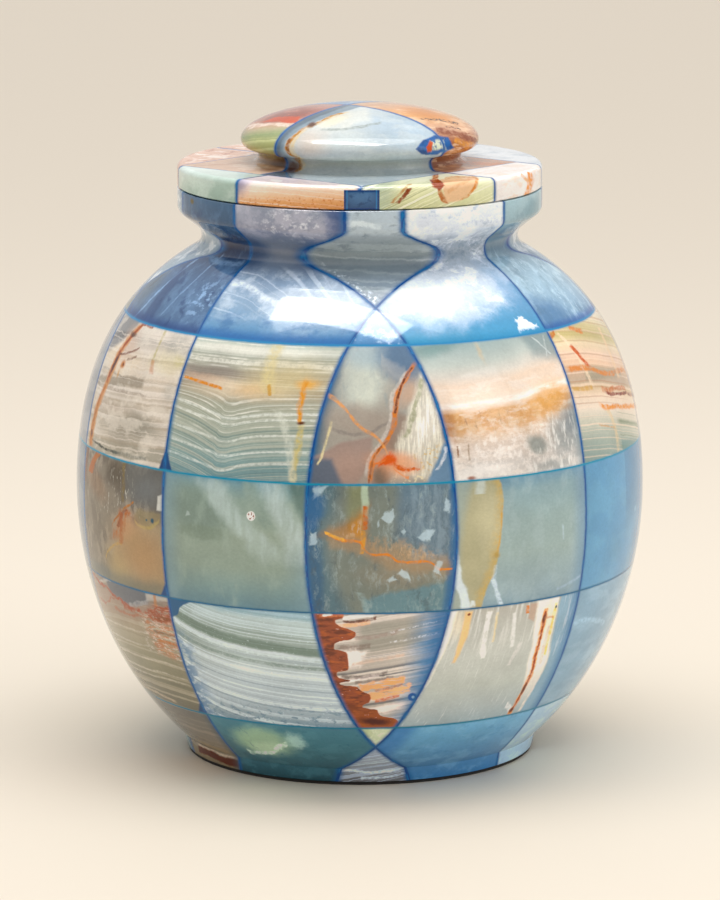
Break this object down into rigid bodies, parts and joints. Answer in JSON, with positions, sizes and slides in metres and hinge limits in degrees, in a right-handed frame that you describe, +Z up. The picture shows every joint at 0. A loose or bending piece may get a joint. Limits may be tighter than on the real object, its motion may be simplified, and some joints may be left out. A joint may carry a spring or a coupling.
{
  "type": "funeral urn",
  "caption": "Round-bellied cremation urn turned from glued blocks of polished onyx, hollow, with a low foot, a narrow neck and a lift-off lid with a domed knob.",
  "frame": {"origin": "middle of the underside, on the surface the urn stands on", "axes": "+Z up the turning axis, -Y towards the front, where the pointed corner stones and the small inset in the lid's edge are, +X to the right of someone facing the front"},
  "size_m": [0.203, 0.203, 0.2324],
  "materials": {
    "onyx_grey_blue": "polished natural onyx, glossy",
    "onyx_pale_blue": "polished natural onyx, glossy",
    "onyx_deep_blue": "polished natural onyx, glossy",
    "onyx_cream": "polished natural onyx, glossy",
    "onyx_sea_green": "polished natural onyx, glossy",
    "onyx_teal": "polished natural onyx, glossy",
    "onyx_rust": "polished natural onyx, glossy",
    "onyx_peach": "polished natural onyx, glossy",
    "onyx_lime": "polished natural onyx, glossy",
    "onyx_white": "polished natural onyx, glossy",
    "felt": "thin dark felt"
  },
  "bodies": {
    "root": {"foot_back_left_stone": "onyx_grey_blue", "foot_back_right_stone": "onyx_teal", "foot_front_left_stone": "onyx_teal", "foot_front_right_stone": "onyx_deep_blue", "foot_front_stone": "onyx_cream", "foot_inner_front_stone": "onyx_cream", "foot_inner_left_stone": "onyx_grey_blue", "foot_inner_right_stone": "onyx_sea_green", "foot_left_front_stone": "onyx_grey_blue", "foot_pad": "felt", "foot_right_front_stone": "onyx_sea_green", "lid_edge_back_left_stone": "onyx_rust", "lid_edge_back_right_stone": "onyx_pale_blue", "lid_edge_front_left_stone": "onyx_peach", "lid_edge_front_right_stone": "onyx_lime", "lid_edge_left_front_stone": "onyx_sea_green", "lid_edge_right_front_stone": "onyx_white", "lid_insert_stone": "onyx_deep_blue", "lid_knob_back_stone": "onyx_pale_blue", "lid_knob_front_stone": "onyx_white", "lid_knob_left_stone": "onyx_rust", "lid_knob_right_stone": "onyx_peach", "lower_back_left_stone": "onyx_sea_green", "lower_back_right_stone": "onyx_pale_blue", "lower_front_left_stone": "onyx_white", "lower_front_right_stone": "onyx_sea_green", "lower_front_stone": "onyx_rust", "lower_left_front_stone": "onyx_sea_green", "lower_left_stone": "onyx_grey_blue", "lower_right_front_stone": "onyx_pale_blue", "lower_right_stone": "onyx_teal", "middle_back_left_stone": "onyx_pale_blue", "middle_back_right_stone": "onyx_sea_green", "middle_front_left_stone": "onyx_sea_green", "middle_front_right_stone": "onyx_sea_green", "middle_front_stone": "onyx_teal", "middle_left_front_stone": "onyx_cream", "middle_left_stone": "onyx_grey_blue", "middle_right_front_stone": "onyx_pale_blue", "middle_right_stone": "onyx_pale_blue", "neck_back_left_stone": "onyx_grey_blue", "neck_back_right_stone": "onyx_pale_blue", "neck_front_left_stone": "onyx_pale_blue", "neck_front_right_stone": "onyx_pale_blue", "neck_front_stone": "onyx_pale_blue", "neck_inner_back_stone": "onyx_pale_blue", "neck_inner_front_stone": "onyx_grey_blue", "neck_inner_left_stone": "onyx_cream", "neck_inner_right_stone": "onyx_grey_blue", "neck_left_front_stone": "onyx_deep_blue", "neck_right_front_stone": "onyx_grey_blue", "upper_back_left_stone": "onyx_cream", "upper_back_right_stone": "onyx_sea_green", "upper_front_left_stone": "onyx_white", "upper_front_right_stone": "onyx_peach", "upper_front_stone": "onyx_grey_blue", "upper_left_front_stone": "onyx_cream", "upper_left_stone": "onyx_grey_blue", "upper_right_front_stone": "onyx_lime", "upper_right_stone": "onyx_pale_blue"}
  },
  "joints": []
}
